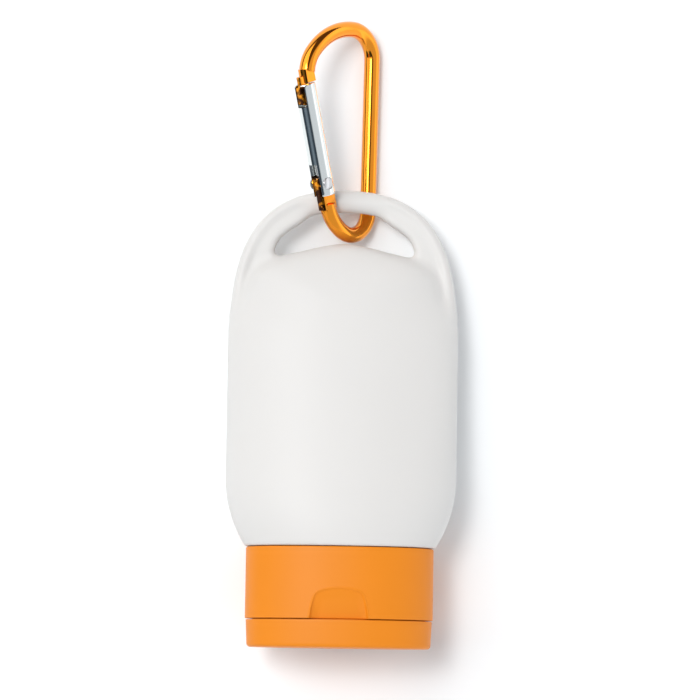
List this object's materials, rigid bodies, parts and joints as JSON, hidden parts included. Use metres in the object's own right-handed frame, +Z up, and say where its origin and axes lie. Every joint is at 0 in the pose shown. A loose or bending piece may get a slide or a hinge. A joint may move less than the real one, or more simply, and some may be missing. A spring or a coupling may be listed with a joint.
{
  "type": "flip-top squeeze bottle",
  "caption": "Flat squeeze bottle with a flip-top cap, an integral hang loop and a small sprung carabiner threaded through the loop, lying on its back.",
  "frame": {"origin": "on the surface that the bottle lies on, under the middle of the whole part's box, which is on the bottle's centre line", "axes": "+X across the bottle, to the right seen from above with the loop away from the viewer; +Y from the cap towards the hang loop and carabiner; +Z up, out of the bottle's front"},
  "size_m": [0.0524, 0.144, 0.0286],
  "materials": {
    "bottle_white": "satin blow-moulded polyethylene",
    "cap_orange": "satin moulded polypropylene",
    "carabiner_anodised": "orange-gold anodised, polished",
    "gate_silver": "polished",
    "steel": "bright"
  },
  "bodies": {
    "bottle": {"bottle_body": "bottle_white", "cap_base": "cap_orange", "hinge_web_left": "cap_orange", "hinge_web_right": "cap_orange", "hinge_strap": "cap_orange"},
    "lid": {"flip_lid": "cap_orange"},
    "carabiner": {"carabiner_body": "carabiner_anodised"},
    "gate": {"carabiner_gate": "gate_silver", "gate_rivet": "steel", "gate_spring": "steel"},
    "plunger": {"spring_plunger": "steel"}
  },
  "joints": [
    {"name": "lid_hinge", "type": "hinge", "parent": "bottle", "child": "lid", "pos_m": [0, -0.06566, 0.00281], "axis": [1, 0, 0], "range_deg": [0, 150], "deforming": ["hinge_web_left", "hinge_web_right", "hinge_strap"]},
    {"name": "carabiner_swing", "type": "hinge", "parent": "bottle", "child": "carabiner", "pos_m": [0, 0.03042, 0.00613], "axis": [1, 0, 0], "range_deg": [-55, 85]},
    {"name": "gate_hinge", "type": "hinge", "parent": "carabiner", "child": "gate", "pos_m": [-0.00554, 0.03449, 0.01264], "axis": [-0.7071, 0.0086, -0.7071], "range_deg": [0, 30], "stiffness_Nm_per_rad": 0.006, "springref_deg": -45.84},
    {"name": "plunger_slide", "type": "slide", "parent": "gate", "child": "plunger", "axis": [-0.1903, 0.9607, 0.202], "range_m": [0, 0.00045], "deforming": ["gate_spring"]}
  ],
  "couplings": [
    {"joint": "plunger_slide", "follows": "gate_hinge", "m_per_rad": 0.0008}
  ]
}
